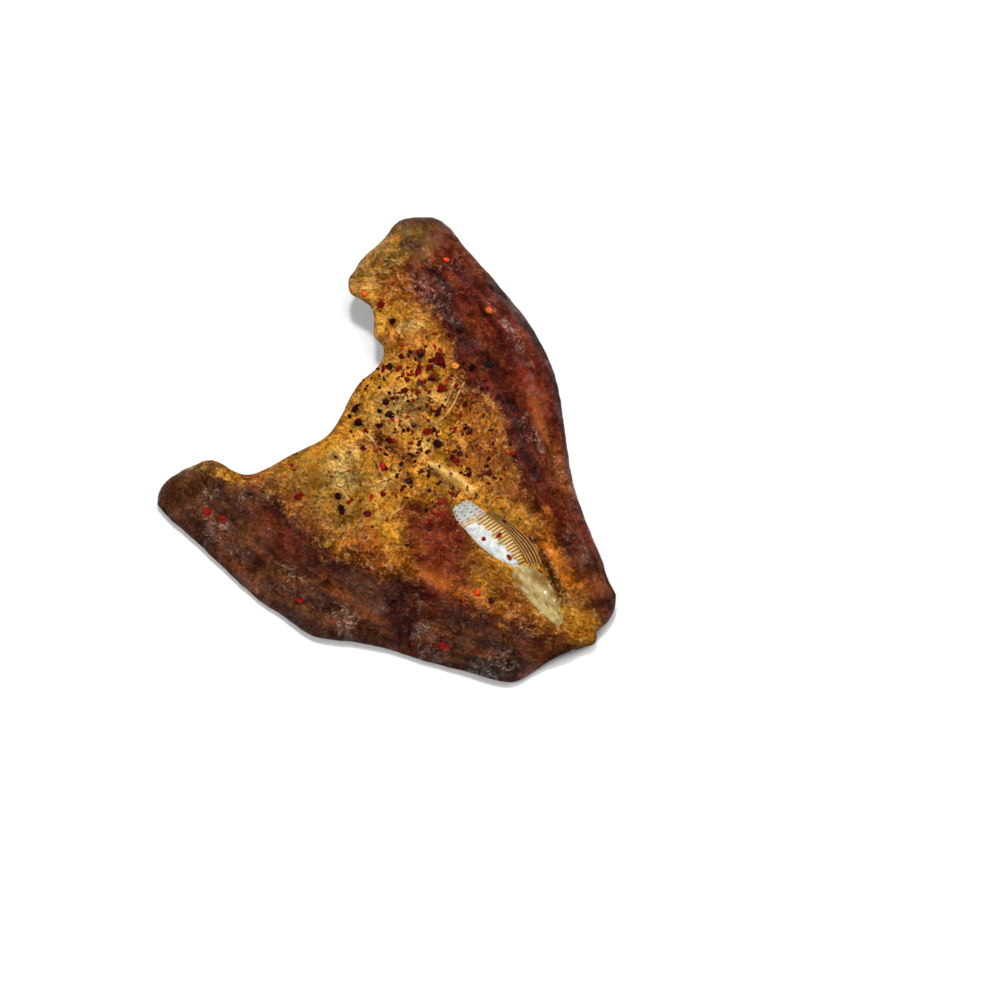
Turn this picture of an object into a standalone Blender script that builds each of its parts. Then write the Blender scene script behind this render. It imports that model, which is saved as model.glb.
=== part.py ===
"""Dried fish fillet: one small fish, boned, opened flat from the back and dried, with crushed chilli on it.

The fish lies skin down. Its tail points to -Y and its two halves spread towards +Y, joined along the
belly line, which runs near X = 0. The right half is at +X. Numbers are millimetres, and MM turns them
into Blender's metres. A place on the fish is given by two shares: along, from 0 at the tail to 1 at the
head end, and across, from -1 at the left back edge through 0 at the belly line to 1 at the right back edge.
"""

import math
import random
from itertools import product

import bmesh
import bpy
import numpy as np
from mathutils import Matrix, Vector, noise
from mathutils.bvhtree import BVHTree
from mathutils.kdtree import KDTree

MM = 0.001

# Driving dimensions.
LOIN_THICKNESS = 2.8
MEMBRANE_THICKNESS = 0.9
RIM_SHARE = 0.45
RIM_WIDTH = 5
ARCH_HEIGHT = 3.4
BELLY_HEIGHT = 1.6
REST_DEPTH = 0.45
EDGE_CURL = 1.3
TAIL_LIFT = 2.4
HEAD_LIFT = {-1: 3.0, 1: 4.5}
HEAD_STARTS, HEAD_ENDS = 55, 112
BELLY_TIP_LIFT = 1.5
LUMP_HEIGHT = 0.9
LUMP_SIZE = 26.0
CELLS_ALONG = 36
CELLS_ACROSS = 52
EVENING_STEPS = 300

# Outline, as points on smooth curves: belly line and back edges run from tail to head end, the tail ends
# and head ends from the belly line to the back edge. -1 is the left half and 1 the right half.
BELLY_LINE = [(-0.6, -0.4), (-0.4, 12), (1.2, 25), (2, 44), (1.2, 58), (-0.2, 71), (0, 90.6)]
BACK_EDGE = {
    -1: [(-8.5, 0.2), (-15, 2.7), (-20, 3.8), (-24.6, 5.2), (-27.6, 9), (-31.4, 16.3),
         (-36.6, 25.6), (-40.4, 33.5), (-45.2, 41), (-50.2, 47.4), (-52.2, 52), (-53, 58),
         (-54.6, 69), (-54.9, 90), (-55.4, 100.5), (-54.9, 105)],
    1: [(9.6, 2.5), (11.2, 6.6), (14.8, 12.5), (19.5, 22.3), (24.7, 31.8), (32.3, 41.9), (39.1, 50.3),
        (44.2, 57.7), (48.1, 65.8), (51.1, 75), (54, 91.8), (55.2, 102), (56.5, 109), (56.6, 112.7)],
}
TAIL_END = {
    -1: [(-0.6, -0.4), (-1.8, -1.7), (-3.5, -2.1), (-6, -0.9), (-8.5, 0.2)],
    1: [(-0.6, -0.4), (3.4, -0.6), (6.6, 0.3), (9.6, 2.5)],
}
HEAD_END = {
    -1: [(0, 90.6), (-5.9, 88.2), (-12.5, 87), (-22.4, 89.1), (-28.3, 90.3), (-32.4, 91.8), (-34.6, 94),
         (-35.6, 98), (-36.2, 102.3), (-38, 104.9), (-40.8, 106.2), (-44.5, 107.6), (-48.6, 108.3),
         (-52, 107.5), (-54.9, 105)],
    1: [(0, 90.6), (5.5, 92), (11.4, 91.7), (14.8, 92.6), (16.9, 95), (16.8, 97.9), (20.4, 101.6),
        (22.2, 104.8), (21.9, 107.6), (21, 110.4), (21.9, 113.1), (24.2, 115.2), (27.9, 116.6),
        (32, 118.1), (41.2, 119.4), (45.3, 120.8), (49, 120.8), (52.5, 118.6), (55.4, 115.7),
        (56.6, 112.7)],
}

# Crushed chilli: the pieces that stand out, as (x, y, width, turn in degrees), and how many more there are.
DARK_FLAKES = [(33, 71, 4.2, 20), (-0.6, 87.2, 3.8, 75), (14, 89, 2.6, 50), (21.4, 85.4, 3.4, 10),
               (4.4, 79.4, 3.6, 35), (0.5, 79, 2.4, 130), (-2.6, 83.6, 2.6, 0), (-21.4, 71.7, 2.6, 90),
               (-23.4, 68.6, 3, 15), (7.6, 64.9, 3, 60), (6.5, 83, 2.4, 0), (-4.3, 63.2, 3, 100),
               (34.6, 84, 3, 60), (23, 97, 2.2, 0), (28.5, 73, 2.6, 0), (19.2, 78.6, 2.2, 40)]
RED_FLAKES = [(24, 81, 4.6, 60), (7.6, 58.5, 3.4, 70), (8.6, 69.2, 3.4, 30), (-6.6, 78.3, 3.8, 40),
              (-19.4, 63.4, 2.8, 0), (-10.4, 49.9, 3.6, 20), (-28.5, 78.6, 3, 60), (-48, 92.6, 3.4, 20),
              (-46.4, 88.4, 2.2, 100), (-7.5, 41.8, 2.6, 0), (24.2, 103, 2.8, 45), (18.8, 74.9, 2.4, 0),
              (-30.8, 23.5, 3.2, 20), (-2.9, 53, 2.6, 110), (18, 82.2, 2.2, 0), (-2.9, 37.4, 2.4, 30),
              (0.6, 35.6, 2, 80), (-4.1, 74.6, 2.4, 0), (-48, 58, 2.2, 10), (13.6, 78.3, 1.8, 0)]
SEEDS = [(25.8, 76.6, 2.6, 0), (23, 108.2, 2.3, 10), (44.4, 82.3, 2.4, 30), (47.3, 101.5, 2.2, 40),
         (-15.2, 27.3, 2.4, 90)]
MORE_DARK_FLAKES = 8
MORE_RED_FLAKES = 8
FLAKE_THICKNESS = 0.4
SEED_THICKNESS = 0.9
FLAKE_SIZES = (1.3, 2.6)
CHILLI_CENTRE = (11, 62)
CHILLI_SPREAD = (15, 22)
GAP = 0.3
SEED_OF_RANDOM = 7

COLOURS = {
    "fish": (0.30, 0.11, 0.02, 1, 0.35),
    "dark_chilli": (0.035, 0.006, 0.004, 1, 0.5),
    "red_chilli": (0.30, 0.012, 0.008, 1, 0.4),
    "chilli_seed": (0.75, 0.22, 0.04, 1, 0.45),
}


def smooth_step(low, high, value):
    """0 below low, 1 above high and smooth between them."""
    share = min(1, max(0, (value - low) / (high - low)))
    return share * share * (3 - 2 * share)


def on_curve(points, share):
    """The point at this share of the length of the smooth curve through the points."""
    lengths = [math.dist(a, b) for a, b in zip(points, points[1:])]
    left = min(1, max(0, share)) * sum(lengths)
    index = 0
    while index < len(lengths) - 1 and left > lengths[index]:
        left -= lengths[index]
        index += 1
    t = left / lengths[index]
    a, b = Vector(points[index]), Vector(points[index + 1])
    before = Vector(points[index - 1]) if index else a - (b - a)
    after = Vector(points[index + 2]) if index + 2 < len(points) else b + (b - a)
    return 0.5 * (2 * a + (b - before) * t + (2 * before - 5 * a + 4 * b - after) * t ** 2
                  + (3 * a - before - 3 * b + after) * t ** 3)


def first_guess(along, across):
    """X and Y of a place: on the straight line from belly line to back edge, moved to meet both ends."""
    side, out = (-1 if across < 0 else 1), abs(across)
    belly = on_curve(BELLY_LINE, along)
    back = on_curve(BACK_EDGE[side], along)
    place = belly.lerp(back, out)
    for end, nearness in ((TAIL_END, 1 - along), (HEAD_END, along)):
        curve = end[side]
        straight = Vector(curve[0]).lerp(Vector(curve[-1]), out)
        place += (on_curve(curve, out) - straight) * nearness ** 3
    return place


def even_out(grid):
    """Bends a grid's lines evenly between its four fixed sides, by Winslow's equations, so that none cross."""
    for _ in range(EVENING_STEPS):
        across = (grid[1:-1, 2:] - grid[1:-1, :-2]) / 2
        along = (grid[2:, 1:-1] - grid[:-2, 1:-1]) / 2
        skew = (grid[2:, 2:] - grid[2:, :-2] - grid[:-2, 2:] + grid[:-2, :-2]) / 2
        along_weight = np.sum(along ** 2, axis=2, keepdims=True)
        across_weight = np.sum(across ** 2, axis=2, keepdims=True)
        mixed = np.sum(across * along, axis=2, keepdims=True)
        total = (along_weight * (grid[1:-1, 2:] + grid[1:-1, :-2])
                 + across_weight * (grid[2:, 1:-1] + grid[:-2, 1:-1]) - mixed * skew)
        grid[1:-1, 1:-1] = total / (2 * (along_weight + across_weight))


def plan_grid():
    """X and Y of every place: rows run from tail to head end, columns from left to right back edge."""
    half = CELLS_ACROSS // 2
    grid = np.zeros((CELLS_ALONG + 1, CELLS_ACROSS + 1, 2))
    for row, column in product(range(CELLS_ALONG + 1), range(CELLS_ACROSS + 1)):
        grid[row, column] = first_guess(row / CELLS_ALONG, column / half - 1)
    even_out(grid[:, :half + 1])
    even_out(grid[:, half:])
    return grid


def outline_tree(grid):
    """The grid's outer places, for measuring distances to the rim."""
    rim = [*grid[0], *grid[-1], *grid[:, 0], *grid[:, -1]]
    tree = KDTree(len(rim))
    for index, (x, y) in enumerate(rim):
        tree.insert((x, y, 0), index)
    tree.balance()
    return tree


def thickness(along, across, to_rim):
    """The fillet is thick in the loins along the backs and thin as skin over the belly."""
    loin = smooth_step(0.25, 0.6, abs(across)) * (0.8 + 0.2 * math.sin(math.pi * along))
    root = 1 - smooth_step(0.05, 0.35, along)
    inside = MEMBRANE_THICKNESS + (LOIN_THICKNESS - MEMBRANE_THICKNESS) * max(loin, 0.7 * root)
    return inside * (RIM_SHARE + (1 - RIM_SHARE) * math.sqrt(smooth_step(0, RIM_WIDTH, to_rim)))


def underside(along, across, x, y):
    """Height of the skin: arched over the loins, down along the backs, where it is later cut at Z = 0."""
    side, out = (-1 if across < 0 else 1), abs(across)
    arch = ARCH_HEIGHT * smooth_step(0.05, 0.4, out) * (1 - smooth_step(0.42, 0.84, out))
    arch *= smooth_step(0, 0.35, along)
    belly = BELLY_HEIGHT * (1 - smooth_step(0, 0.45, out)) * smooth_step(0.05, 0.3, along)
    head = HEAD_LIFT[side] * smooth_step(HEAD_STARTS, HEAD_ENDS, y) * math.sin(math.pi * (0.12 + 0.87 * out))
    tip = BELLY_TIP_LIFT * smooth_step(0.7, 1, along) * (1 - out) ** 3
    tail = TAIL_LIFT * (1 - smooth_step(0, 0.16, along)) ** 2
    curl = EDGE_CURL * smooth_step(0.86, 1.04, out)
    lumps = LUMP_HEIGHT * noise.noise(Vector((x, y, 0)) / LUMP_SIZE)
    return arch + belly + head + tip + tail + curl + lumps - REST_DEPTH


def collection(name):
    made = bpy.data.collections.new(name)
    bpy.context.scene.collection.children.link(made)
    return made


def material(name):
    """A Principled material of the part's colour and roughness."""
    made = bpy.data.materials.new(name)
    made.use_nodes = True
    shader = made.node_tree.nodes["Principled BSDF"]
    shader.inputs["Base Color"].default_value = COLOURS[name][:4]
    shader.inputs["Roughness"].default_value = COLOURS[name][4]
    shader.inputs["Metallic"].default_value = 0
    return made


def add_object(name, mesh, place, finish=None):
    made = bpy.data.objects.new(name, mesh)
    place.objects.link(made)
    if finish:
        mesh.materials.append(finish)
    return made


def make_table_cutter(place):
    """A block under the fish whose top, at Z = 0, flattens the skin where the fish rests."""
    size = 300 * MM
    mesh = bpy.data.meshes.new("resting_surface")
    bm = bmesh.new()
    bmesh.ops.create_cube(bm, size=size, matrix=Matrix.Translation((0, 50 * MM, -size / 2)))
    bm.to_mesh(mesh)
    bm.free()
    cutter = add_object("resting_surface", mesh, place)
    cutter.hide_render = True
    cutter.display_type = "WIRE"
    return cutter


def make_fish(place, finish, cutter):
    """One sheet, bent to the fish's plan and heights, given its thickness by Solidify."""
    mesh = bpy.data.meshes.new("dried_fish")
    bm = bmesh.new()
    bmesh.ops.create_grid(bm, x_segments=CELLS_ACROSS, y_segments=CELLS_ALONG, size=1)
    places = plan_grid()
    outline = outline_tree(places)
    thicknesses = []
    for vertex in bm.verts:
        along, across = (vertex.co.y + 1) / 2, vertex.co.x
        x, y = places[round(along * CELLS_ALONG), round((across + 1) / 2 * CELLS_ACROSS)]
        thick = thickness(along, across, outline.find((x, y, 0))[2])
        thicknesses.append(thick)
        vertex.co = Vector((x, y, underside(along, across, x, y) + thick / 2)) * MM
    bm.to_mesh(mesh)
    bm.free()
    mesh.shade_smooth()
    fish = add_object("dried_fish", mesh, place, finish)
    group = fish.vertex_groups.new(name="thickness")
    for index, thick in enumerate(thicknesses):
        group.add([index], thick / LOIN_THICKNESS, "REPLACE")
    shell = fish.modifiers.new("thickness", "SOLIDIFY")
    shell.thickness = LOIN_THICKNESS * MM
    shell.offset = 0
    shell.vertex_group = group.name
    rest = fish.modifiers.new("flat_where_it_rests", "BOOLEAN")
    rest.operation = "DIFFERENCE"
    rest.object = cutter
    return fish


def chip_mesh(name, width, rng):
    """A flat flake of chilli skin: a low prism whose corners are pushed in and out at random."""
    mesh = bpy.data.meshes.new(name)
    bm = bmesh.new()
    corners = rng.choice((5, 6, 7))
    bmesh.ops.create_cone(bm, cap_ends=True, segments=corners, radius1=width / 2, radius2=width / 2,
                          depth=FLAKE_THICKNESS)
    pushes = [rng.uniform(0.7, 1.1) for _ in range(corners)]
    narrow = rng.uniform(0.55, 0.9)
    for vertex in bm.verts:
        turn = math.atan2(vertex.co.x, vertex.co.y) / math.tau
        push = pushes[round(turn * corners) % corners]
        vertex.co.x *= push * MM
        vertex.co.y *= push * narrow * MM
        vertex.co.z *= MM
    bm.to_mesh(mesh)
    bm.free()
    return mesh


def seed_mesh(name, width, rng):
    """A flat round seed."""
    mesh = bpy.data.meshes.new(name)
    bm = bmesh.new()
    bmesh.ops.create_uvsphere(bm, u_segments=10, v_segments=5, radius=0.5)
    bmesh.ops.scale(bm, vec=(width * MM, width * rng.uniform(0.8, 0.95) * MM, SEED_THICKNESS * MM),
                    verts=bm.verts)
    bm.to_mesh(mesh)
    bm.free()
    mesh.shade_smooth()
    return mesh


def drop_on(surface, piece, x, y, turn):
    """Lays a piece on the fish's upper face at X, Y, tilted with it and clear of it by the gap."""
    down = Vector((0, 0, -1))
    above = 100 * MM
    hit, normal, _, _ = surface.ray_cast(Vector((x * MM, y * MM, above)), down)
    tilt = normal.to_track_quat("Z", "Y").to_matrix().to_4x4()
    piece.matrix_world = Matrix.Translation(hit) @ tilt @ Matrix.Rotation(math.radians(turn), 4, "Z")
    corners = [piece.matrix_world @ v.co for v in piece.data.vertices]
    clearances = []
    for corner in corners:
        below = surface.ray_cast(Vector((corner.x, corner.y, above)), down)[0]
        if below:
            clearances.append(corner.z - below.z)
    piece.location.z += (GAP + 0.05) * MM - min(clearances)


def free_spots(count, taken, rng):
    """Random places, thickest round the belly, each clear of those taken. Adds them to taken."""
    found = []
    while len(found) < count:
        x = rng.gauss(CHILLI_CENTRE[0], CHILLI_SPREAD[0])
        y = rng.gauss(CHILLI_CENTRE[1], CHILLI_SPREAD[1])
        width = rng.uniform(*FLAKE_SIZES)
        on_fish = 8 < y < 84 and abs(x) < 0.3 * y + 9
        if on_fish and all(math.dist((x, y), spot[:2]) > (width + spot[2]) / 2 + 0.8 for spot in taken):
            found.append((x, y, width, rng.uniform(0, 360)))
            taken.append(found[-1])
    return found


def make_chilli(place, fish):
    """Every flake and seed as its own object, lying on the fish."""
    rng = random.Random(SEED_OF_RANDOM)
    surface = BVHTree.FromObject(fish, bpy.context.evaluated_depsgraph_get())
    taken = [*DARK_FLAKES, *RED_FLAKES, *SEEDS]
    dark = [*DARK_FLAKES, *free_spots(MORE_DARK_FLAKES, taken, rng)]
    red = [*RED_FLAKES, *free_spots(MORE_RED_FLAKES, taken, rng)]
    kinds = (("dark_flake", dark, chip_mesh, material("dark_chilli")),
             ("red_flake", red, chip_mesh, material("red_chilli")),
             ("chilli_seed", SEEDS, seed_mesh, material("chilli_seed")))
    for kind, spots, shape, finish in kinds:
        for number, (x, y, width, turn) in enumerate(spots, 1):
            name = f"{kind}_{number:02d}"
            piece = add_object(name, shape(name, width, rng), place, finish)
            drop_on(surface, piece, x, y, turn)


def centre_on_origin(pieces, fish):
    """Moves everything so that the middle of the fish's box is over the origin."""
    bpy.context.view_layer.update()
    box = fish.evaluated_get(bpy.context.evaluated_depsgraph_get()).bound_box
    xs, ys = [corner[0] for corner in box], [corner[1] for corner in box]
    shift = Matrix.Translation((-(min(xs) + max(xs)) / 2, -(min(ys) + max(ys)) / 2, 0))
    for piece in pieces:
        piece.matrix_world = shift @ piece.matrix_world


def main():
    for old in list(bpy.data.objects):
        bpy.data.objects.remove(old)
    cutters = collection("cutters")
    parts = collection("dried_fish_fillet")
    cutter = make_table_cutter(cutters)
    fish = make_fish(parts, material("fish"), cutter)
    bpy.context.view_layer.update()
    make_chilli(parts, fish)
    centre_on_origin([*parts.objects, cutter], fish)


main()
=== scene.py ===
"""Looks of the dried fish fillet: a small fish opened flat from the back, dried and strewn with chilli.

Places on the fish are in millimetres in the fish's own frame: the origin at the tail, +Y along the belly
line to the head end, +X towards the right half. A place also has two shares, along (0 at the tail, 1 at
the head end) and across (-1 at the left back edge, 0 at the belly line, 1 at the right back edge).
"""

import math
import random
from itertools import product

import bpy
import numpy as np
from mathutils import Matrix, Vector, noise
from mathutils.bvhtree import BVHTree


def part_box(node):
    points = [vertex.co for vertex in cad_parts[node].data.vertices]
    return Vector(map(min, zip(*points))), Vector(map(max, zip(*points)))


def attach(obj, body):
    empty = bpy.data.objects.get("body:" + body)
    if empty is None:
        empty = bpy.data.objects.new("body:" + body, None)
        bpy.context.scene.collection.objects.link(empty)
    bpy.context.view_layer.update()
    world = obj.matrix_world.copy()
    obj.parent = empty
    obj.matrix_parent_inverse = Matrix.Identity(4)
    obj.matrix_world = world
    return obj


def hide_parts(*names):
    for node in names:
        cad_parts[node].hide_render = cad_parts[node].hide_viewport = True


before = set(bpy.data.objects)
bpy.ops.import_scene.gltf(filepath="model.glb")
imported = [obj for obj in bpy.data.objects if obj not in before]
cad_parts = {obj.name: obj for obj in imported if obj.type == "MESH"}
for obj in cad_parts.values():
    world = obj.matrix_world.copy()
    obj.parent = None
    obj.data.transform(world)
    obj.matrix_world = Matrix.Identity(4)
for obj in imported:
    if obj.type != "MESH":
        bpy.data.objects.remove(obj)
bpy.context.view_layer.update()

MM = 0.001
# A height clear above the fish, and how far the floor lies under it.
ABOVE = 60
FLOOR_GAP = 0.05

# The CAD fish's shape, which the visual one repeats.
LOIN_THICKNESS = 2.8
MEMBRANE_THICKNESS = 0.9
RIM_SHARE = 0.45
RIM_WIDTH = 5
ARCH_HEIGHT = 3.4
BELLY_HEIGHT = 1.6
REST_DEPTH = 0.45
EDGE_CURL = 1.3
TAIL_LIFT = 2.4
HEAD_LIFT = {-1: 3.0, 1: 4.5}
HEAD_STARTS, HEAD_ENDS = 55, 112
BELLY_TIP_LIFT = 1.5
LUMP_HEIGHT = 0.9
LUMP_SIZE = 26.0
CELLS_ALONG = 36
CELLS_ACROSS = 52
EVENING_STEPS = 300
LINE_STEPS = 28
BELLY_LINE = [(-0.6, -0.4), (-0.4, 12), (1.2, 25), (2, 44), (1.2, 58), (-0.2, 71), (0, 90.6)]
BACK_EDGE = {
    -1: [(-8.5, 0.2), (-15, 2.7), (-20, 3.8), (-24.6, 5.2), (-27.6, 9), (-31.4, 16.3),
         (-36.6, 25.6), (-40.4, 33.5), (-45.2, 41), (-50.2, 47.4), (-52.2, 52), (-53, 58),
         (-54.6, 69), (-54.9, 90), (-55.4, 100.5), (-54.9, 105)],
    1: [(9.6, 2.5), (11.2, 6.6), (14.8, 12.5), (19.5, 22.3), (24.7, 31.8), (32.3, 41.9), (39.1, 50.3),
        (44.2, 57.7), (48.1, 65.8), (51.1, 75), (54, 91.8), (55.2, 102), (56.5, 109), (56.6, 112.7)],
}
TAIL_END = {
    -1: [(-0.6, -0.4), (-1.8, -1.7), (-3.5, -2.1), (-6, -0.9), (-8.5, 0.2)],
    1: [(-0.6, -0.4), (3.4, -0.6), (6.6, 0.3), (9.6, 2.5)],
}
HEAD_END = {
    -1: [(0, 90.6), (-5.9, 88.2), (-12.5, 87), (-22.4, 89.1), (-28.3, 90.3), (-32.4, 91.8), (-34.6, 94),
         (-35.6, 98), (-36.2, 102.3), (-38, 104.9), (-40.8, 106.2), (-44.5, 107.6), (-48.6, 108.3),
         (-52, 107.5), (-54.9, 105)],
    1: [(0, 90.6), (5.5, 92), (11.4, 91.7), (14.8, 92.6), (16.9, 95), (16.8, 97.9), (20.4, 101.6),
        (22.2, 104.8), (21.9, 107.6), (21, 110.4), (21.9, 113.1), (24.2, 115.2), (27.9, 116.6),
        (32, 118.1), (41.2, 119.4), (45.3, 120.8), (49, 120.8), (52.5, 118.6), (55.4, 115.7),
        (56.6, 112.7)],
}

# The visual mesh: even lines along and across, and closer ones at the rim, as shares.
LINES_ALONG = 210
LINES_ACROSS = 204
RIM_LINES = (0.001, 0.003, 0.006)
EDGE_ROUNDING = 0.55
LEAST_THICKNESS = 0.35
RAGGED_RIM = 0.16
# The scale of the flesh's threads, across one half and along the fish.
THREADS_ACROSS, THREADS_ALONG = 50, 110

# Camera and lights: the point on the floor they aim at, and where they stand as seen from it. Azimuths run
# clockwise from +Y, seen from above; distances, sizes and the floor's reach are in metres.
TARGET = (8.85, 43.2)
CAMERA_AZIMUTH = 225.3
CAMERA_ELEVATION = 66
CAMERA_DISTANCE = 0.6
CAMERA_LENS = 83.1
CAMERA_SENSOR = 36
# The main light, one behind and a fill at the left: azimuth, elevation, distance, size and power.
LIGHTS = [
    ("right_light", 95, 47, 1.25, 1.3, 13.5),
    ("back_light", 42, 60, 1.3, 0.2, 9),
    ("left_light", -75, 50, 1.2, 0.7, 6.5),
]
SKY_STRENGTH = 0.12
FLOOR_REACH = 1.5

# Lines on the flesh, from head end to tail.
RIGHT_LOIN = [(40.5, 111), (36, 104), (34, 98), (33, 92), (32, 85.5), (29.5, 80), (25.5, 72.5), (26, 67.5),
              (28, 63), (25, 57), (21.5, 51), (17.5, 45), (14, 38), (11.5, 29.5), (9, 21.5), (7, 15),
              (5, 9)]
LEFT_LOIN = [(-37.5, 92.5), (-35, 86), (-34.5, 80), (-35, 75), (-35, 69), (-35.5, 63), (-33.5, 57.5),
             (-30.5, 50), (-27.5, 43), (-23.5, 33), (-22, 27.5), (-18.5, 20.5), (-14.5, 13.5),
             (-11.5, 6.5), (-7, 0.5)]
CREASE = [(-2.5, 80), (-1.5, 77.5), (-1.7, 74), (-1, 69.5), (-0.5, 66), (0, 64.5)]
RIDGE = [(2, 64.5), (3.5, 59.5), (4.5, 56), (4.7, 51.5), (5.2, 47.5)]
RIDGE_SHADOW = [(0.7, 63.5), (1.4, 60.5), (1.8, 56.5), (2.4, 53.5), (1.7, 51)]
PURPLE_GROOVE = [(30.5, 64), (28.5, 57.5), (23.5, 50.5), (20.5, 45), (19, 40.5), (17, 35.5)]
RIGHT_RIM = [(55, 92), (52.5, 86), (52, 82), (50.5, 75.5), (48.5, 69), (47, 62), (42, 54), (36, 46)]
POCKET = [(6, 78.5), (8, 77.5), (10.5, 76), (12.5, 73.5), (12, 71)]
TROUGH = [(1, 50), (1.6, 43), (1.6, 36), (1, 29), (0, 22), (-1.5, 16), (-3.4, 9)]
TROUGH_WALL = [(5.5, 46), (7, 40), (7.2, 33), (6, 26), (4, 19), (2.2, 13), (0.5, 8)]

# Raised and sunk lines of the flesh: points, height in millimetres and half width.
FOLDS = [
    (RIGHT_LOIN, -0.8, 1.3), (LEFT_LOIN, -0.5, 1.8), (RIDGE, 1.2, 1.0), (RIDGE_SHADOW, -1.0, 0.8),
    (CREASE, -1.2, 1.0), ([(0.5, 80), (1.5, 75), (1.5, 70), (2.2, 66)], 1.1, 1.6),
    (PURPLE_GROOVE, -1.6, 1.5), (POCKET, -1.2, 0.9),
    ([(8.5, 80.5), (12, 79), (15, 75.5), (14.5, 71)], 1.0, 1.4),
    ([(24, 71.5), (16.5, 68.5), (12, 68.5)], 0.8, 1.1), ([(25, 69), (18, 66), (13, 65)], -0.7, 1.1),
    ([(49.5, 99.5), (46.5, 91.5), (45.5, 86), (43, 79), (42, 73), (41, 68)], 0.9, 1.2),
    ([(47, 96), (44, 89), (42.5, 82), (40, 75), (38, 67), (33, 58)], -0.8, 1.1),
    ([(50, 86), (48.5, 79), (46.5, 73.5), (45, 69), (43.5, 64), (37, 54)], 0.8, 1.0),
    ([(41, 97), (39.5, 89), (38, 81), (36, 73), (35.5, 66)], 0.7, 1.4),
    ([(36, 92), (34.5, 85), (33, 78), (33, 70)], -0.7, 1.2),
    ([(33, 60), (28.5, 52), (26.5, 45), (22, 37), (19.5, 30), (15, 20), (12, 12)], 0.9, 1.3),
    ([(27, 42), (22, 33), (17, 22), (13, 13), (10, 7)], -0.8, 1.0),
    ([(15, 40), (13, 33), (10.5, 28), (7.5, 22), (5.5, 17), (3.8, 12)], 1.0, 1.3),
    ([(17, 38), (14, 29), (11, 22), (8, 14)], -0.7, 0.9), ([(55.5, 107), (50.5, 106), (46, 106)], -0.7, 1.1),
    ([(40, 116), (37, 111), (36, 106)], -0.5, 1.3), ([(33, 112), (31, 106), (29, 101)], 0.6, 1.8),
    (TROUGH, -1.3, 3.2), (TROUGH_WALL, 0.9, 1.4), ([(-8, 40), (-9, 32), (-9.5, 24), (-9.5, 15)], 0.8, 1.8),
    ([(-15, 44), (-17, 36), (-17, 27), (-14.5, 18), (-11, 9)], 0.8, 1.6),
    ([(-19, 46), (-20.5, 36), (-20, 27), (-17, 18)], -0.7, 1.3),
    ([(-31, 66), (-28, 58), (-22, 50), (-17, 42)], 0.8, 2.2), ([(-12, 70), (-9, 60), (-8, 50)], 0.6, 2.0),
    ([(-22, 83), (-15, 76), (-9.5, 70)], 0.8, 2.2), ([(20, 96), (24, 91), (28, 86)], -0.7, 1.5),
    ([(16, 62), (14, 54), (11.5, 46)], 0.8, 1.5), ([(8, 70), (8, 63), (9.5, 56)], 0.7, 1.3),
    ([(18, 92), (21, 86), (20, 80)], 0.7, 1.6), ([(5, 88), (9, 84), (15, 84)], 0.7, 1.4),
    ([(-45, 98), (-43, 88), (-43, 76), (-41, 62), (-36, 48), (-30, 34), (-23, 20)], -0.8, 1.6),
    ([(-50, 96), (-49, 84), (-48.5, 72), (-46.5, 60)], 0.8, 2.0),
    ([(-39, 90), (-38, 80), (-38, 70), (-36, 58)], 0.6, 1.6), ([(-43, 40), (-36, 27), (-28, 14)], 0.6, 1.8),
]

# Every colour, chosen as a plain screen colour from 0 to 255.
PALETTE = {
    "straw": (225, 185, 100), "gold": (195, 130, 25), "honey": (205, 110, 10), "olive": (120, 85, 15),
    "amber": (150, 75, 5), "chestnut": (115, 50, 10), "rust": (105, 30, 5), "umber": (80, 40, 10),
    # glint is the colour of painted highlights on the flesh.
    "maroon": (75, 20, 10), "oxblood": (50, 10, 5), "soot": (25, 15, 8), "glint": (215, 180, 150),
    "skin": (90, 65, 35), "pale skin": (160, 130, 80), "scale gap": (55, 35, 20),
    "silver": (195, 200, 195), "membrane": (175, 155, 95), "bone": (205, 165, 85),
    "black chilli": (15, 5, 5), "dark chilli": (75, 10, 5), "deep red": (65, 5, 5),
    "bright red": (165, 20, 10), "seed red": (215, 50, 10), "seed yellow": (240, 150, 45),
    "floor shade": (246, 246, 245), "floor": (250, 250, 249),
}

# Colour laid on the flesh in soft patches: colour, middle, half widths, turn in degrees and strength.
PATCHES = [
    ("olive", (-24, 74), (16, 18), 0, 0.9), ("amber", (-26, 56), (6, 10), -35, 0.9),
    ("straw", (-15, 77), (10, 5), 35, 0.5), ("straw", (6, 80), (12, 8), 0, 0.35),
    ("olive", (9, 76), (4, 4), 40, 0.4), ("straw", (27, 111), (6, 5), 0, 0.5),
    ("amber", (30, 103), (6, 7), 0, 0.8), ("amber", (21, 91), (8, 8), 0, 0.7),
    ("straw", (25, 93), (1.6, 5), 60, 0.6), ("amber", (20, 68), (8, 11), -20, 0.8),
    ("chestnut", (14, 54), (8, 10), 15, 0.8), ("rust", (-9, 48), (10, 16), 0, 1),
    ("rust", (-21, 34), (9, 26), -30, 1), ("amber", (-13, 15), (4, 12), -25, 0.8),
    ("chestnut", (11, 41), (3, 10), 15, 0.8), ("honey", (6, 25), (3, 10), 12, 0.8),
    ("amber", (-7, 1.5), (7, 4), 0, 0.5), ("straw", (4, 67), (4, 3), 20, 0.5),
    ("straw", (16, 75), (4, 3), -30, 0.5), ("amber", (-3, 78), (4, 3), 0, 0.7),
]
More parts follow.
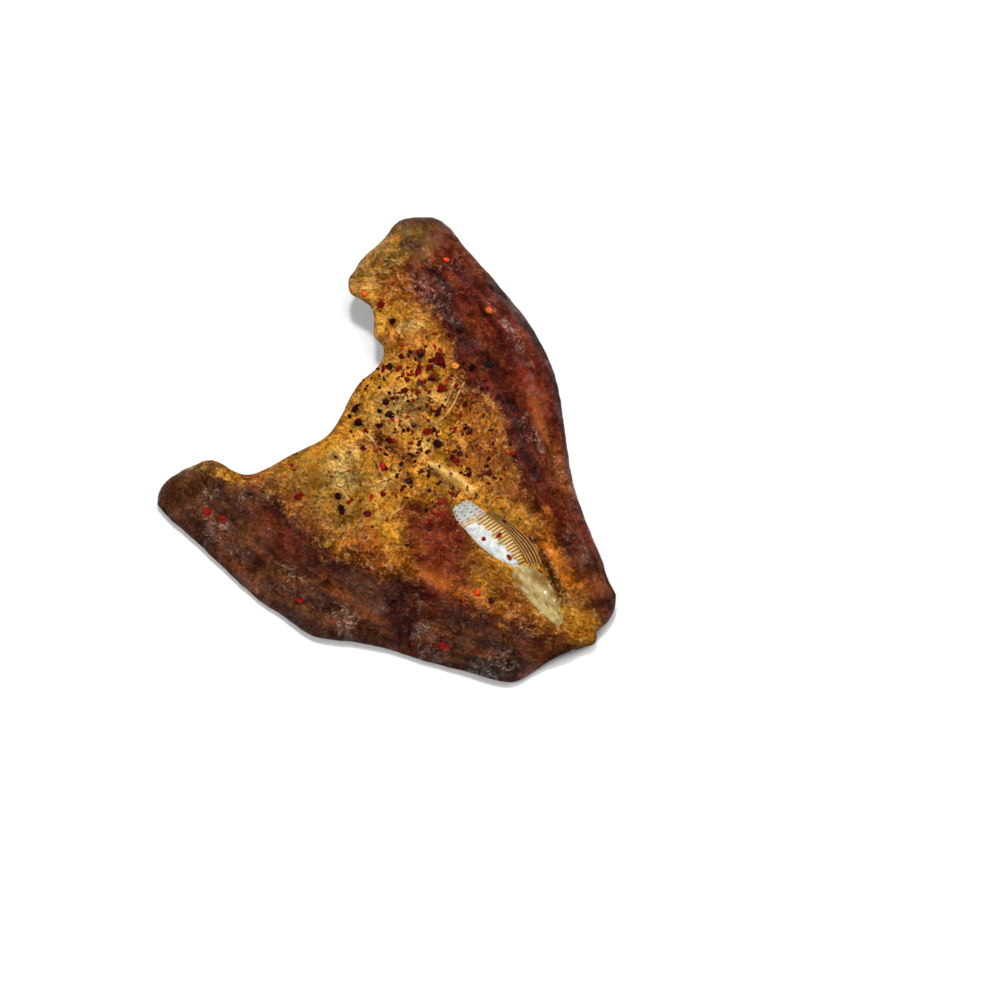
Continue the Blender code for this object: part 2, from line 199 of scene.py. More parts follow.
LOIN_PATCHES = [
    ("maroon", (33, 80), (6, 18), -5, 1), ("rust", (42, 66), (6, 22), -25, 0.7),
    ("umber", (46, 112), (13, 9), 0, 1), ("chestnut", (39, 106), (8, 5), 0, 0.8),
    ("oxblood", (50, 84), (2.5, 16), -8, 0.7), ("chestnut", (23, 36), (5, 14), -30, 0.7),
    ("umber", (9, 12), (7, 10), -20, 0.8), ("oxblood", (-31, 40), (5, 24), -28, 1),
    ("rust", (-39, 72), (5, 14), 0, 0.7), ("umber", (-48, 90), (8, 16), 0, 0.9),
    ("umber", (-45, 60), (6, 12), 0, 0.8), ("soot", (-26, 10), (9, 9), -30, 0.9),
]
# Where the left half is rust brown or olive and has fewer pale flecks.
RUST_MIDDLE, RUST_SIZE = (-16, 38), (15, 26)
OLIVE_MIDDLE, OLIVE_SIZE = (-24, 74), (16, 17)

# Patches laid over the loins as well, at the head end of the right half and at the tail.
COVER_PATCHES = [
    ("olive", (34, 115), (21, 8), -5, 0.9), ("chestnut", (35, 106), (7, 5), 0, 0.6),
    ("umber", (50, 117), (6, 4), 0, 0.6), ("chestnut", (5, 9), (7, 11), -15, 0.75),
    ("umber", (9, 3), (5, 4), 0, 0.8), ("honey", (4.5, 17), (2, 9), 10, 0.7),
    ("gold", (-4, -0.5), (5, 2.5), 0, 0.6),
    ("chestnut", (-12, 6), (6, 5), -30, 0.6), ("rust", (-12, 41), (10, 15), -20, 0.6),
    ("chestnut", (-9, 24), (5, 15), -12, 0.65),
    ("umber", (-43, 102), (10, 7), 10, 0.9), ("chestnut", (-34, 92), (5, 5), 0, 0.7),
    ("rust", (-23, 40), (5, 16), -28, 0.7), ("amber", (16, 58), (6, 9), 20, 0.6),
]
LINES = [
    # Painted shade: the oxblood lines along PURPLE_GROOVE, RIDGE_SHADOW, CREASE and POCKET darken sunk lines
    # of the flesh.
    ("oxblood", PURPLE_GROOVE, 2.4, 0.95), ("soot", RIGHT_RIM, 2.2, 0.9), ("straw", RIDGE, 1.2, 1),
    ("oxblood", RIDGE_SHADOW, 0.9, 0.85), ("amber", CREASE, 2.6, 0.8), ("oxblood", CREASE, 0.7, 0.9),
    ("oxblood", POCKET, 0.8, 0.8), ("straw", [(5, 80), (8, 80), (12, 78), (14.5, 74.5)], 1.2, 0.6),
    ("umber", [(-3, 66), (-8, 64), (-13, 64)], 0.8, 0.6),
    ("straw", [(-3, 68), (-9, 66.5), (-15, 67)], 1.4, 0.5),
    ("honey", [(13, 33), (12, 29.5), (7, 23.5), (5, 19), (4, 15), (3, 11)], 1.6, 0.9),
    # Painted shadow along the right side of the fin and the oval.
    ("oxblood", [(5.8, 31), (5.6, 27), (4, 22), (2.2, 17.5), (0.4, 13.5), (-1.6, 9)], 1.1, 0.95),
    ("oxblood", [(2.3, 7), (5, 3), (7.5, 1.5)], 1.5, 0.7), ("maroon", RIGHT_LOIN, 1.6, 0.6),
    ("oxblood", LEFT_LOIN, 2.6, 0.75), ("soot", [(57, 113), (52, 118.5), (47, 120.5), (41, 119)], 1.6, 0.6),
    ("oxblood", [(41, 115), (43.5, 112), (46, 108.5)], 1.4, 0.7),
    ("oxblood", [(44, 104), (41, 97), (37, 90), (34, 82), (32, 74)], 1.6, 0.6),
    ("amber", [(36, 60), (31, 52), (28, 44), (24, 35), (20, 27)], 1.5, 0.6),
    ("straw", [(14, 70), (18, 71.5), (23, 74)], 0.9, 0.6),
    ("honey", [(-26, 56), (-22, 46), (-19.5, 36), (-16, 25), (-12, 14)], 1.8, 0.4),
]

FRINGES = [("rust", LEFT_LOIN, 7.0, 0.85), ("rust", RIGHT_LOIN, 5.0, 0.7)]
# Patches of flesh dried smooth and glassy: middle, half widths, turn and strength.
SMOOTH_PATCHES = [
    ((41, 67), (4, 20), -28, 0.8), ((32, 52), (3, 10), -35, 0.7), ((-41, 74), (4, 10), 0, 0.6),
    ((48, 108), (7, 3), 0, 0.5), ((-22, 82), (9, 5), 30, 0.5), ((-20, 38), (4, 12), -28, 0.7),
    ((4, 56), (2.5, 8), 10, 0.8), ((5, 5), (7, 5), 0, 0.5), ((-34, 42), (4, 9), -25, 0.5),
    ((6, 22), (2, 9), 12, 0.6), ((12, 40), (2.5, 9), 15, 0.5),
]
# Patches of painted glint in the base colour, where the flesh also has a glossy oil coat: middle, half
# widths, turn and strength.
GLINT_AND_GLOSS_PATCHES = [
    ((38, 98), (6, 8), 0, 1), ((37, 112), (4, 3), 0, 0.8), ((43, 108), (5, 5), 0, 0.5),
    ((-49, 87), (3.5, 6), 0, 1), ((-50, 79), (3, 5), 0, 0.8), ((-45, 62), (4, 8), 0, 0.8),
    ((-44, 47), (4, 7), -30, 0.8), ((-33, 28), (4, 12), -30, 0.7), ((-26, 11), (7, 7), 0, 0.8),
    ((-15, 28), (4, 10), -10, 0.7), ((-44, 96), (6, 4), 0, 0.5), ((-38, 88), (4, 3), 0, 0.8),
    ((26, 48), (2.5, 8), -25, 1), ((45, 76), (2, 14), -12, 0.9), ((35, 90), (3, 10), 0, 0.6),
    ((24, 34), (3, 10), -25, 0.7), ((12, 18), (4, 8), -20, 0.6), ((-14, 76), (8, 5), 30, 0.6),
    ((-26, 62), (5, 8), 0, 0.6), ((10, 76), (9, 9), 0, 0.5), ((26, 109), (6, 7), 0, 0.4),
]

# The silver strip of skin, the fin beside it and the oval of bare membrane: both edges, head end to tail.
STRIP_EDGES = ([(-2.2, 50), (-4.3, 46), (-4.7, 41.5), (-5.3, 36.5), (-4.4, 31.5), (-2.6, 26.5)],
               [(2, 49.2), (3.2, 45), (3.3, 40), (3.5, 35), (2.2, 29.5), (0.2, 25)])
FIN_EDGES = ([(2.9, 43), (3, 39), (3, 35), (1.9, 29.5), (0.2, 24.5)],
             [(4, 43.5), (5.2, 38.5), (5.6, 33), (5, 27.5), (3, 22)])
OVAL_EDGES = ([(-3.4, 27), (-5.8, 24.5), (-6.5, 21.5), (-7.1, 17), (-7.1, 12.3), (-7, 8.5), (-5.9, 6.6)],
              [(-0.8, 27), (1.2, 23.6), (1.5, 19.5), (0.8, 16), (-1, 12.5), (-3, 9), (-5.2, 6.6)])
FIN_RAYS = 5
SHEET_EDGE_SINK = 0.12
SHEET_DEPTH = 0.5

# Where most of the chilli lies, and stains the flesh.
CHILLI_MIDDLE, CHILLI_REACH = (9, 64), (26, 34)
# Crumbs of chilli: name, slot, how many, sizes, centre and spread. Few lie close to the trough.
CRUMBS = [
    ("dark_crumbs", "dark_chilli", 110, (0.6, 1.9), (9, 66), (13, 15)),
    ("red_crumbs", "red_chilli", 125, (0.5, 1.7), (10, 66), (14, 17)),
    ("scattered_crumbs", "red_chilli", 60, (0.4, 1.1), (0, 55), (32, 34)),
    ("clump_crumbs", "red_chilli", 26, (1.2, 2.6), (19, 83), (4.5, 3.5)),
]
CLEAR_OF_TROUGH = 5.5
KEPT_IN_TROUGH = 0.12
CRUMB_TO_EDGE = 1.2

# How bright the flakes and seeds of the part are, from 0 to 1, in the order of their numbers.
FLAKE_SHADES = {
    "dark_chilli": [0, 0.1, 0.2, 0, 0.1, 0.3, 0.1, 0.1, 0.1, 0.2, 0.3, 0.3, 0.1, 0.2, 0.2, 0.4],
    "red_chilli": [0.15, 0.3, 0.5, 0.05, 0.1, 0.05, 0.35, 0.55, 0.8, 0.2, 0.3, 0.3, 0.35, 0.6, 0.8, 0.6,
                   0.6, 0.5, 0.6, 0.5],
    "chilli_seed": [0.9, 0.15, 0.3, 0.1, 0.05],
}

# Thin bones that stand out of the flesh: points and radius.
BONES = [
    ([(-5.7, 75.5), (-7.2, 72), (-8.4, 69.5), (-9.3, 66.5)], 0.26),
    ([(24.5, 71.8), (17, 69), (11.5, 68.6)], 0.32),
    ([(22.5, 73.5), (17.5, 71.2), (14.5, 70.3)], 0.3), ([(-18, 60), (-15, 59), (-12, 58.6)], 0.2),
    ([(11.8, 46.6), (8, 45), (4.6, 43.2)], 0.24), ([(12.5, 65), (15, 65.3), (17.5, 65.2)], 0.2),
    ([(4.8, 79.5), (6, 76.5), (6.4, 73)], 0.24), ([(6.6, 79), (7.8, 76), (8, 73.5)], 0.2),
    ([(-3.4, 81), (-3.6, 77), (-5, 73.6)], 0.26),
]


def tint(name):
    """A colour of the palette, as the linear colour that a shader takes."""
    return tuple((c / 255 / 12.92) if c < 10.3 else ((c / 255 + 0.055) / 1.055) ** 2.4
                 for c in PALETTE[name])


# ---------------------------------------------------------------- places and shape

def smooth_step(low, high, value):
    """0 below low, 1 above high and smooth between them."""
    share = np.clip((value - low) / (high - low), 0, 1)
    return share * share * (3 - 2 * share)


def on_curve(points, share):
    """The point at this share of the length of the smooth curve through the points."""
    lengths = [math.dist(a, b) for a, b in zip(points, points[1:])]
    left = min(1, max(0, share)) * sum(lengths)
    index = 0
    while index < len(lengths) - 1 and left > lengths[index]:
        left -= lengths[index]
        index += 1
    t = left / lengths[index]
    a, b = Vector(points[index]), Vector(points[index + 1])
    before = Vector(points[index - 1]) if index else a - (b - a)
    after = Vector(points[index + 2]) if index + 2 < len(points) else b + (b - a)
    return 0.5 * (2 * a + (b - before) * t + (2 * before - 5 * a + 4 * b - after) * t ** 2
                  + (3 * a - before - 3 * b + after) * t ** 3)


def first_guess(along, across):
    """X and Y of a place: on the straight line from belly line to back edge, moved to meet both ends."""
    side, out = (-1 if across < 0 else 1), abs(across)
    belly = on_curve(BELLY_LINE, along)
    back = on_curve(BACK_EDGE[side], along)
    place = belly.lerp(back, out)
    for end, nearness in ((TAIL_END, 1 - along), (HEAD_END, along)):
        curve = end[side]
        straight = Vector(curve[0]).lerp(Vector(curve[-1]), out)
        place += (on_curve(curve, out) - straight) * nearness ** 3
    return place


def even_out(grid):
    """Spaces a grid's lines evenly between its fixed sides, by Winslow's equations, so that none cross."""
    for _ in range(EVENING_STEPS):
        across = (grid[1:-1, 2:] - grid[1:-1, :-2]) / 2
        along = (grid[2:, 1:-1] - grid[:-2, 1:-1]) / 2
        skew = (grid[2:, 2:] - grid[2:, :-2] - grid[:-2, 2:] + grid[:-2, :-2]) / 2
        along_weight = np.sum(along ** 2, axis=2, keepdims=True)
        across_weight = np.sum(across ** 2, axis=2, keepdims=True)
        mixed = np.sum(across * along, axis=2, keepdims=True)
        total = (along_weight * (grid[1:-1, 2:] + grid[1:-1, :-2])
                 + across_weight * (grid[2:, 1:-1] + grid[:-2, 1:-1]) - mixed * skew)
        grid[1:-1, 1:-1] = total / (2 * (along_weight + across_weight))


def plan_grid():
    """X and Y of every place: rows run from tail to head end, columns from left to right back edge."""
    half = CELLS_ACROSS // 2
    grid = np.zeros((CELLS_ALONG + 1, CELLS_ACROSS + 1, 2))
    for row, column in product(range(CELLS_ALONG + 1), range(CELLS_ACROSS + 1)):
        grid[row, column] = first_guess(row / CELLS_ALONG, column / half - 1)
    even_out(grid[:, :half + 1])
    even_out(grid[:, half:])
    return grid


def line_shares(count):
    """Even shares from 0 to 1, and the closer ones near both ends."""
    even = np.linspace(0, 1, count)
    rim = np.array(RIM_LINES)
    return np.sort(np.concatenate([even, rim, 1 - rim]))


def mixing(shares, count):
    """A matrix that finds, by Catmull-Rom, the values at the shares from those at count even places."""
    matrix = np.zeros((len(shares), count))
    for row, share in zip(matrix, shares):
        place = share * (count - 1)
        index = min(int(place), count - 2)
        t = place - index
        weights = ((-t + 2 * t ** 2 - t ** 3) / 2, (2 - 5 * t ** 2 + 3 * t ** 3) / 2,
                   (t + 4 * t ** 2 - 3 * t ** 3) / 2, (t ** 3 - t ** 2) / 2)
        for line, weight in zip(range(index - 1, index + 3), weights):
            if line < 0:
                row[:2] += (2 * weight, -weight)
            elif line >= count:
                row[-2:] += (-weight, 2 * weight)
            else:
                row[line] += weight
    return matrix


def to_line(points, xy):
    """For each place: distance to the smooth line, the same signed (+ on its right side), and the share."""
    line = np.array([on_curve(points, i / LINE_STEPS) for i in range(LINE_STEPS + 1)])
    start, step = line[:-1], np.diff(line, axis=0)
    offset = xy[:, None] - start
    share = np.clip(np.sum(offset * step, axis=2) / np.sum(step ** 2, axis=1), 0, 1)
    miss = np.hypot(*np.moveaxis(offset - share[..., None] * step, 2, 0))
    best = np.argmin(miss, axis=1)
    every = np.arange(len(xy))
    away = offset[every, best]
    cross = step[best, 0] * away[:, 1] - step[best, 1] * away[:, 0]
    distance = miss[every, best]
    return distance, -np.sign(cross) * distance, (best + share[every, best]) / LINE_STEPS


def bumps(xy, size, seed=0, stretch=1):
    """Smooth noise from about -1 to 1 with lumps of this size; stretch makes them longer along Y."""
    return np.array([noise.noise(Vector((x / size, y / size / stretch, seed * 7.3))) for x, y in xy])


class Places:
    """Every place of the fine grid: XY in millimetres, both shares, threads, and distance from the rim."""

    def __init__(self):
        grid = plan_grid()
        rows, columns = line_shares(LINES_ALONG), line_shares(LINES_ACROSS)
        self.shape = (len(rows), len(columns))
        mixed = np.einsum("ri,cj,ijk->rck", mixing(rows, CELLS_ALONG + 1),
                          mixing(columns, CELLS_ACROSS + 1), grid)
        self.xy = mixed.reshape(-1, 2)
        self.along = np.repeat(rows, len(columns))
        self.across = np.tile(2 * columns - 1, len(rows))
        self.out = np.abs(self.across)
        self.threads = np.column_stack([self.across * THREADS_ACROSS, self.along * THREADS_ALONG])
        rim = np.concatenate([mixed[0, ::2], mixed[::2, -1], mixed[-1, ::-2], mixed[::-2, 0]])
        self.to_rim = rim_distance(rim, self.xy)
        self.wobble = bumps(self.xy, 2.4, 40) + 0.5 * bumps(self.xy, 1.1, 41)
        self.centre = (grid.min(axis=(0, 1)) + grid.max(axis=(0, 1))) / 2

    def stroke(self, points, width, taper=0.2):
        """1 on the smooth line through the points, fading to 0 over about this width and at both ends."""
        distance, _, share = to_line(points, self.xy)
        ends = smooth_step(0, taper, share) * smooth_step(0, taper, 1 - share)
        return np.exp(-(distance / width / (1 + 0.4 * self.wobble)) ** 2) * ends

    def side(self, points, softness, wobble, size, seed):
        """0 to 1 across a line, 1 on its right side; the border wanders by wobble millimetres."""
        _, signed, _ = to_line(points, self.xy)
        return smooth_step(-softness, softness, signed + wobble * bumps(self.xy, size, seed))

    def blob(self, x, y, wide, deep, turn=0, wobble=0.35):
        """1 in the middle of an uneven patch, 0 outside it."""
        angle = math.radians(turn)
        moved = self.xy - (x, y)
        a = (moved[:, 0] * math.cos(angle) + moved[:, 1] * math.sin(angle)) / wide
        b = (-moved[:, 0] * math.sin(angle) + moved[:, 1] * math.cos(angle)) / deep
        return 1 - smooth_step(0.35, 1.15, np.hypot(a, b) + wobble * bumps(self.xy, 3.5, x))


def rim_distance(rim, xy):
    """Distance from each place to the closed rim."""
    start, step = rim, np.roll(rim, -1, axis=0) - rim
    length = np.maximum(np.sum(step ** 2, axis=1), 1e-9)
    nearest = np.full(len(xy), np.inf)
    for first in range(0, len(xy), 4000):
        offset = xy[first:first + 4000, None] - start
        share = np.clip(np.sum(offset * step, axis=2) / length, 0, 1)
        miss = np.hypot(*np.moveaxis(offset - share[..., None] * step, 2, 0))
        nearest[first:first + 4000] = miss.min(axis=1)
    return nearest


def thickness(places):
    """Full thickness of the dried flesh, with a rounded rim."""
    loin = smooth_step(0.25, 0.6, places.out) * (0.8 + 0.2 * np.sin(np.pi * places.along))
    root = 1 - smooth_step(0.05, 0.35, places.along)
    inside = MEMBRANE_THICKNESS + (LOIN_THICKNESS - MEMBRANE_THICKNESS) * np.maximum(loin, 0.7 * root)
    full = inside * (RIM_SHARE + (1 - RIM_SHARE) * np.sqrt(smooth_step(0, RIM_WIDTH, places.to_rim)))
    inward = np.clip(places.to_rim / EDGE_ROUNDING, 0, 1)
    return full, np.sqrt(1 - (1 - inward) ** 2)


def underside(places):
    """Height of the lower surface, before the floor flattens it."""
    along, out = places.along, places.out
    side = np.sign(places.across)
    lift = np.where(side < 0, HEAD_LIFT[-1], HEAD_LIFT[1])
    arch = ARCH_HEIGHT * smooth_step(0.05, 0.4, out) * (1 - smooth_step(0.42, 0.84, out))
    arch = arch * smooth_step(0, 0.35, along)
    belly = BELLY_HEIGHT * (1 - smooth_step(0, 0.45, out)) * smooth_step(0.05, 0.3, along)
    head = lift * smooth_step(HEAD_STARTS, HEAD_ENDS, places.xy[:, 1]) * np.sin(np.pi * (0.12 + 0.87 * out))
    tip = BELLY_TIP_LIFT * smooth_step(0.7, 1, along) * (1 - out) ** 3
    tail = TAIL_LIFT * (1 - smooth_step(0, 0.16, along)) ** 2
    curl = EDGE_CURL * smooth_step(0.86, 1.04, out)
    return arch + belly + head + tip + tail + curl + LUMP_HEIGHT * bumps(places.xy, LUMP_SIZE) - REST_DEPTH


def flesh_relief(places, zones):
    """Height of the cut flesh over its even surface: rolled loins, seams, folds, ridges and wrinkles."""
    xy = places.xy
    height = 0.6 * zones["right_loin"] + 0.4 * zones["left_loin"]
    for line, swell, flute in ((RIGHT_LOIN, 1.3, 0.34), (LEFT_LOIN, 1.2, 0.28)):
        _, outward, _ = to_line(line, xy)
        outward = np.clip(outward if line is LEFT_LOIN else -outward, 0, None)
        outward = np.where((places.across > 0) == (line is RIGHT_LOIN), outward, 0)
        share = outward / (outward + places.to_rim + 0.01)
        ripples = np.cos(share * 19 + 2.2 * places.wobble) * (0.6 + 0.4 * places.wobble)
        height += swell * 4 * share * (1 - share) - flute * ripples * smooth_step(0, 3, outward)
    for points, rise, width in FOLDS:
        height += rise * places.stroke(points, width)
    wrinkles = np.abs(bumps(xy, 6.5, 3)) + 0.5 * bumps(xy, 2.6, 4) + 0.24 * bumps(xy, 1.2, 5)
    wrinkles += 0.2 * bumps(places.threads, 1.3, 6, 5)
    return height + wrinkles * (1 - 0.8 * zones["trough"])


def skin_relief(places):
    """Height of the skin below its even surface: folds and rows of small scales."""
    over, down = places.threads.T * [[2.4], [1.9]]
    scales = np.sin(over + down) * np.sin(over - down)
    return 0.05 * scales + 0.18 * np.abs(bumps(places.xy, 7, 9))


# ---------------------------------------------------------------- zones and paint

def find_zones(places):
    """The areas of the flesh that differ in colour and gloss, each 0 to 1 at every place."""
    right = places.across > 0
    # Painted glints and coat gloss: a faint patchy base everywhere, raised in the listed patches.
    glint_and_gloss = 0.12 + 0.25 * smooth_step(0.1, 0.6, bumps(places.xy, 6, 21))
    for middle, size, turn, strength in GLINT_AND_GLOSS_PATCHES:
        glint_and_gloss = np.maximum(glint_and_gloss, strength * places.blob(*middle, *size, turn, 0.5))
    return {
        "right_loin": np.where(right, 1 - places.side(RIGHT_LOIN, 1.2, 2.2, 3.0, 1), 0),
        "left_loin": np.where(right, 0, places.side(LEFT_LOIN, 1.8, 3.0, 4.0, 2)),
        "rim": 1 - smooth_step(0.15, 1.3, places.to_rim + 0.6 * bumps(places.xy, 3, 11)),
        "trough": places.stroke(TROUGH, 4.0, 0.05),
        "glint_and_gloss": glint_and_gloss,
    }


def paint_flesh(places, zones, flakes):
    """Base colour of every place, laid on from large areas to small marks, and how rough its texture is."""
    colour = np.tile(tint("gold"), (len(places.xy), 1))
    rough = np.ones(len(places.xy))

    def lay(shade, mask, strength=1.0):
        cover = np.clip(mask * strength, 0, 1)[:, None]
        colour[:] = colour * (1 - cover) + np.array(tint(shade)) * cover

    def lay_patches(patches, within=1):
        for shade, middle, size, turn, strength in patches:
            lay(shade, places.blob(*middle, *size, turn) * within, strength)

    def lay_lines(lines, taper):
        for shade, points, width, strength in lines:
            lay(shade, places.stroke(points, width, taper), strength)

    lay_patches(PATCHES)
    lay_lines(FRINGES, 0.05)
    loin = np.maximum(zones["right_loin"], zones["left_loin"])
    lay("rust", zones["right_loin"])
    lay("umber", zones["left_loin"])
    lay_patches(LOIN_PATCHES, loin)
    streaks = bumps(places.threads, 2.0, 14, 5)
    lay("oxblood", smooth_step(0.05, 0.35, streaks) * loin, 0.65)
    lay("chestnut", smooth_step(0.1, 0.4, -streaks) * loin, 0.55)
    lay_patches(COVER_PATCHES)
    lay_lines(LINES, 0.12)
    lay("oxblood", zones["rim"], 0.55)
    for x, y, width in flakes:
        reach = np.hypot(places.xy[:, 0] - x, places.xy[:, 1] - y) / width
        lay("maroon", 1 - smooth_step(0.3, 1.1, reach + 0.4 * places.wobble), 0.6)
    for middle, size, turn, strength in SMOOTH_PATCHES:
        rough -= rough * strength * places.blob(*middle, *size, turn, 0.2)
    return colour, rough


# ---------------------------------------------------------------- materials

def new_material(name):
    """An empty node material, its tree, and the socket of a point's place in metres."""
    material = bpy.data.materials.new(name)
    material.use_nodes = True
    tree = material.node_tree
    tree.nodes.clear()
    return material, tree, node(tree, "ShaderNodeTexCoord").outputs["Object"]


def node(tree, kind, inputs=None, **settings):
    """A new node with these settings; an input is a value, or a socket to link."""
    made = tree.nodes.new(kind)
    for name, value in settings.items():
        setattr(made, name, value)
    for name, value in (inputs or {}).items():
        if isinstance(value, bpy.types.NodeSocket):
            tree.links.new(value, made.inputs[name])
        else:
            made.inputs[name].default_value = value
    return made


def attribute(tree, name):
    """The attribute node for a named attribute of the mesh."""
    return node(tree, "ShaderNodeAttribute", attribute_name=name)


def vector_maths(tree, operation, first, second):
    """One sum, product or other operation on two vectors or sockets."""
    return node(tree, "ShaderNodeVectorMath", {0: first, 1: second}, operation=operation).outputs[0]


def noise_socket(tree, vector, scale, detail=3.0, distortion=0.0, stretch=(1, 1, 1)):
    """Noise from 0 to 1 of the vector, stretched by this along each axis."""
    squeezed = vector_maths(tree, "MULTIPLY", vector, stretch)
    made = node(tree, "ShaderNodeTexNoise", {"Vector": squeezed, "Scale": scale, "Detail": detail,
                                             "Distortion": distortion, "Roughness": 0.55})
    return made.outputs[0]


def wander(tree, vector, place, scale, reach):
    """The vector pushed about by noise, so that the pattern it drives wanders."""
    push = node(tree, "ShaderNodeTexNoise", {"Vector": place, "Scale": scale, "Detail": 2.0})
    centred = vector_maths(tree, "SUBTRACT", push.outputs["Color"], (0.5, 0.5, 0.5))
    return vector_maths(tree, "ADD", vector, vector_maths(tree, "MULTIPLY", centred, (reach,) * 3))


def ramp(tree, value, low, high, start=0.0, end=1.0):
    """start below low, end above high, smooth between them."""
    limits = {"Value": value, "From Min": low, "From Max": high, "To Min": start, "To Max": end}
    return node(tree, "ShaderNodeMapRange", limits, interpolation_type="SMOOTHSTEP").outputs[0]


def near_middle(tree, value, width):
    """1 where a noise passes through its middle, which draws thin wandering lines, and 0 elsewhere."""
    away = maths(tree, "ABSOLUTE", maths(tree, "SUBTRACT", value, 0.5), 0)
    return ramp(tree, away, 0, width, 1, 0)


def maths(tree, operation, first, second):
    """One sum, product or other operation on two numbers or sockets."""
    return node(tree, "ShaderNodeMath", {0: first, 1: second}, operation=operation).outputs[0]


def mix(tree, factor, first, second):
    """A mix of two colours, each a socket or a linear colour."""
    first, second = [c if isinstance(c, bpy.types.NodeSocket) else (*c, 1) for c in (first, second)]
    return node(tree, "ShaderNodeMix", {0: factor, 6: first, 7: second}, data_type="RGBA").outputs[2]


def shift_value(tree, colour, value):
    """A colour made lighter or darker by a factor."""
    return node(tree, "ShaderNodeHueSaturation", {"Color": colour, "Value": value}).outputs[0]


def vary(tree, colour, noise_value, darkest, lightest, amount=None):
    """A colour made darker and lighter by a noise, between two factors; amount, 0 to 1, weakens it."""
    factor = ramp(tree, noise_value, 0.32, 0.68, darkest, lightest)
    if amount is not None:
        change = maths(tree, "SUBTRACT", factor, 1.0)
        factor = maths(tree, "ADD", maths(tree, "MULTIPLY", change, amount), 1.0)
    return shift_value(tree, colour, factor)


def bump(tree, height, distance, strength=1.0, below=None):
    """A bump from a height socket, over an earlier bump if there is one."""
    inputs = {"Height": height, "Distance": distance, "Strength": strength}
    if below is not None:
        inputs["Normal"] = below
    return node(tree, "ShaderNodeBump", inputs).outputs[0]


def finish_material(tree, inputs):
    """Principled shader with these inputs, as the material's surface."""
    shader = node(tree, "ShaderNodeBsdfPrincipled", inputs)
    node(tree, "ShaderNodeOutputMaterial", {"Surface": shader.outputs[0]})


def flesh_material():
    """Dried, oiled flesh: painted base colour broken up by patches, threads, stipple, flecks and stains,
    with painted glints.
    """
    material, tree, place = new_material("dried_flesh")
    straight = attribute(tree, "threads").outputs["Vector"]
    threads = wander(tree, wander(tree, straight, place, 90, 5), place, 380, 1.2)
    marks = node(tree, "ShaderNodeSeparateXYZ", {0: attribute(tree, "marks").outputs["Vector"]})
    glint_and_gloss, pale, stain = marks.outputs
    paint = attribute(tree, "paint")
    rough = paint.outputs["Alpha"]

    patchy = noise_socket(tree, place, 130, 3, 0.6)
    amber = noise_socket(tree, place, 170, 4, 1.2)
    bright = noise_socket(tree, place, 240, 4, 0.9)
    mottle = noise_socket(tree, place, 420, 5, 0.9)
    thread = noise_socket(tree, threads, 1.0, 4, 0.6, (1.5, 0.4, 1))
    grain = noise_socket(tree, place, 1500, 3, 0.8)
    stipple = node(tree, "ShaderNodeTexVoronoi", {"Vector": wander(tree, place, place, 900, 0.0006),
                                                  "Scale": 1250}).outputs["Distance"]
    # Thin broken streaks and specks of painted highlight, which also bump the glossy coat.
    glint_streak = near_middle(tree, noise_socket(tree, threads, 1.0, 1, 1.2, (0.95, 0.14, 1)), 0.05)
    glint_streak = maths(tree, "MULTIPLY", glint_streak, ramp(tree, grain, 0.42, 0.52))
    sparkle = maths(tree, "MAXIMUM", glint_streak, ramp(tree, grain, 0.6, 0.66))

    colour = mix(tree, maths(tree, "MULTIPLY", ramp(tree, amber, 0.47, 0.62, 0, 0.7), pale),
                 paint.outputs["Color"], tint("amber"))
    colour = mix(tree, maths(tree, "MULTIPLY", ramp(tree, bright, 0.52, 0.68, 0, 0.6), pale), colour,
                 tint("honey"))
    colour = vary(tree, colour, patchy, 0.7, 1.3)
    colour = vary(tree, colour, thread, 0.74, 1.28, rough)
    colour = vary(tree, colour, mottle, 0.66, 1.35, rough)
    colour = vary(tree, colour, stipple, 1.25, 0.7, rough)
    fleck = ramp(tree, maths(tree, "ADD", grain, mottle), 1.06, 1.22, 0, 0.8)
    colour = mix(tree, maths(tree, "MULTIPLY", fleck, pale), colour, tint("straw"))
    # Painted highlight: the pale glint colour laid into the base colour in the glint patches.
    lit = maths(tree, "MULTIPLY", sparkle, glint_and_gloss)
    lit = maths(tree, "MULTIPLY", lit, ramp(tree, mottle, 0.44, 0.6, 0, 0.75))
    colour = mix(tree, lit, colour, tint("glint"))
    spot = maths(tree, "MULTIPLY", ramp(tree, noise_socket(tree, place, 480, 3, 0.7), 0.57, 0.64), stain)
    colour = mix(tree, spot, colour, tint("maroon"))

    normal = bump(tree, mottle, 0.0014, rough)
    normal = bump(tree, thread, 0.0007, rough, normal)
    normal = bump(tree, stipple, -0.00035, rough, normal)
    glint = bump(tree, sparkle, 0.0006, 1, normal)
    oil = maths(tree, "MAXIMUM", ramp(tree, patchy, 0.42, 0.62, 0.05, 0.4),
                maths(tree, "MULTIPLY", glint_and_gloss, ramp(tree, mottle, 0.42, 0.56, 0.2, 1)))
    finish_material(tree, {"Base Color": colour, "Roughness": ramp(tree, mottle, 0.3, 0.7, 0.5, 0.7),
                           "Coat Weight": oil, "Coat Roughness": 0.08, "Coat IOR": 1.6,
                           "Normal": normal, "Coat Normal": glint, "Specular IOR Level": 0.03})
    return material


